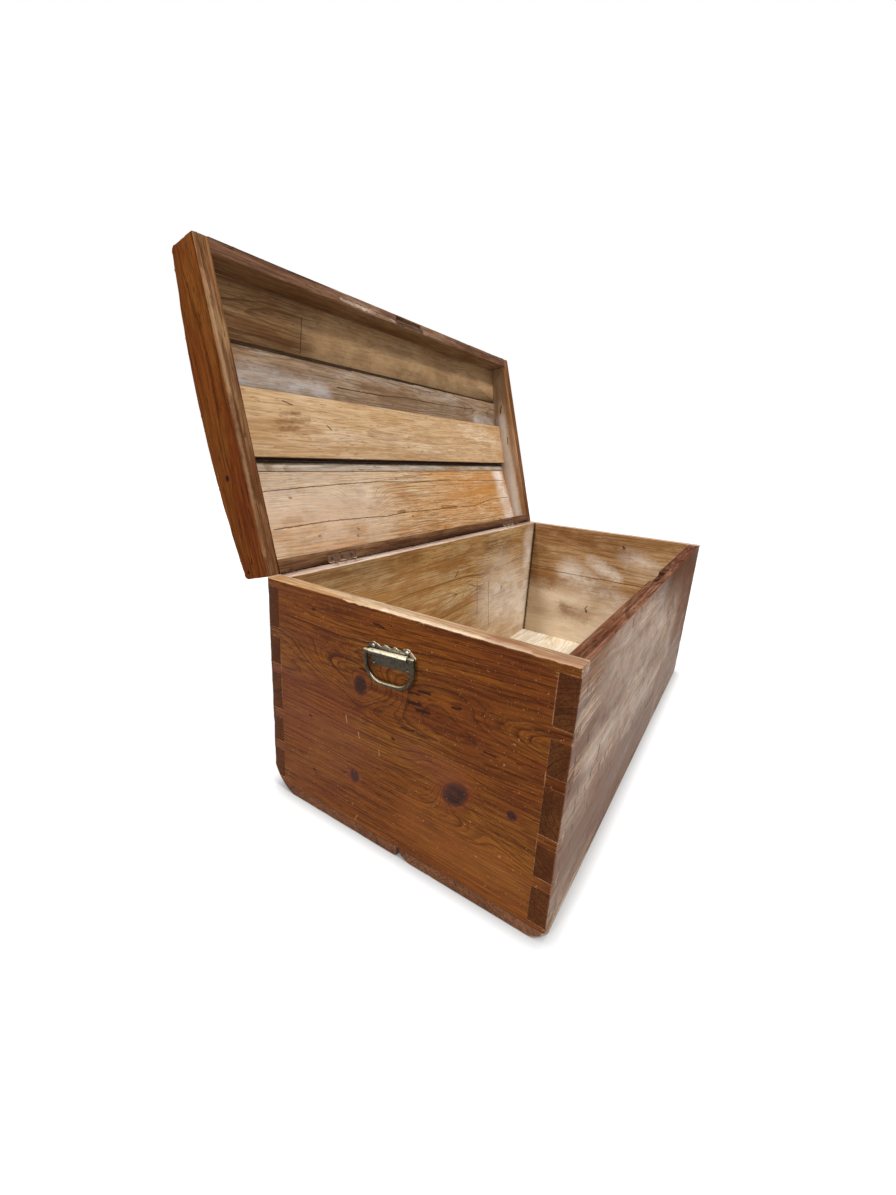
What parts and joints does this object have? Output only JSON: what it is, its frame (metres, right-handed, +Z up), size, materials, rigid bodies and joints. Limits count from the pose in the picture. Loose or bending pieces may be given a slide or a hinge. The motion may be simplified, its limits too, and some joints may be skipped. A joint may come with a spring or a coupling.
{
  "type": "blanket chest",
  "caption": "Pine blanket chest with through-dovetailed corners, a cambered plank lid standing open on two butt hinges, and a drop handle at each end.",
  "frame": {"origin": "middle of the underside, where the chest stands", "axes": "+X along the length towards the right end, the front faces -Y, +Z up"},
  "size_m": [1.0352, 0.6973, 0.8707],
  "materials": {
    "stained_pine": "old varnish",
    "bare_pine": "bare, worn",
    "aged_brass": "dark patina",
    "bright_screw": "worn bright",
    "dark_iron": "oxidised",
    "washed_steel": "covered with pale wash"
  },
  "bodies": {
    "chest": {"front_board": "stained_pine", "back_board": "stained_pine", "left_end_board": "stained_pine", "right_end_lower_board": "stained_pine", "right_end_upper_board": "stained_pine", "bottom_board_front": "bare_pine", "bottom_board_rear": "bare_pine", "bottom_nails": "dark_iron", "left_hinge_chest_leaf": "washed_steel", "right_hinge_chest_leaf": "washed_steel", "left_hinge_pin": "dark_iron", "right_hinge_pin": "dark_iron", "hinge_chest_screws": "dark_iron", "left_handle_plate": "aged_brass", "left_handle_screws": "bright_screw", "right_handle_plate": "aged_brass", "right_handle_screws": "bright_screw"},
    "lid": {"left_hinge_lid_leaf": "dark_iron", "right_hinge_lid_leaf": "dark_iron", "hinge_lid_screws": "dark_iron", "lid_left_end": "stained_pine", "lid_right_end": "stained_pine", "lid_front_rail": "stained_pine", "lid_rear_rail": "stained_pine", "lid_rear_top_board": "bare_pine", "lid_filler_strip": "bare_pine", "lid_crown_board": "bare_pine", "lid_middle_top_board": "bare_pine", "lid_front_top_board": "bare_pine", "lid_nails": "dark_iron"},
    "left_bail": {"left_handle_bail": "aged_brass", "left_handle_pin": "aged_brass"},
    "right_bail": {"right_handle_bail": "aged_brass", "right_handle_pin": "aged_brass"}
  },
  "joints": [
    {"name": "lid_hinge", "type": "hinge", "parent": "chest", "child": "lid", "pos_m": [0, 0.254, 0.3813], "axis": [1, 0, 0], "range_deg": [0, 105.5]},
    {"name": "left_bail_swing", "type": "hinge", "parent": "chest", "child": "left_bail", "pos_m": [-0.5134, 0.003, 0.323], "axis": [0, 0.9969, -0.0785], "range_deg": [-2, 175]},
    {"name": "right_bail_swing", "type": "hinge", "parent": "chest", "child": "right_bail", "pos_m": [0.5134, 0.003, 0.323], "axis": [0, -1, 0], "range_deg": [-2, 175]}
  ]
}
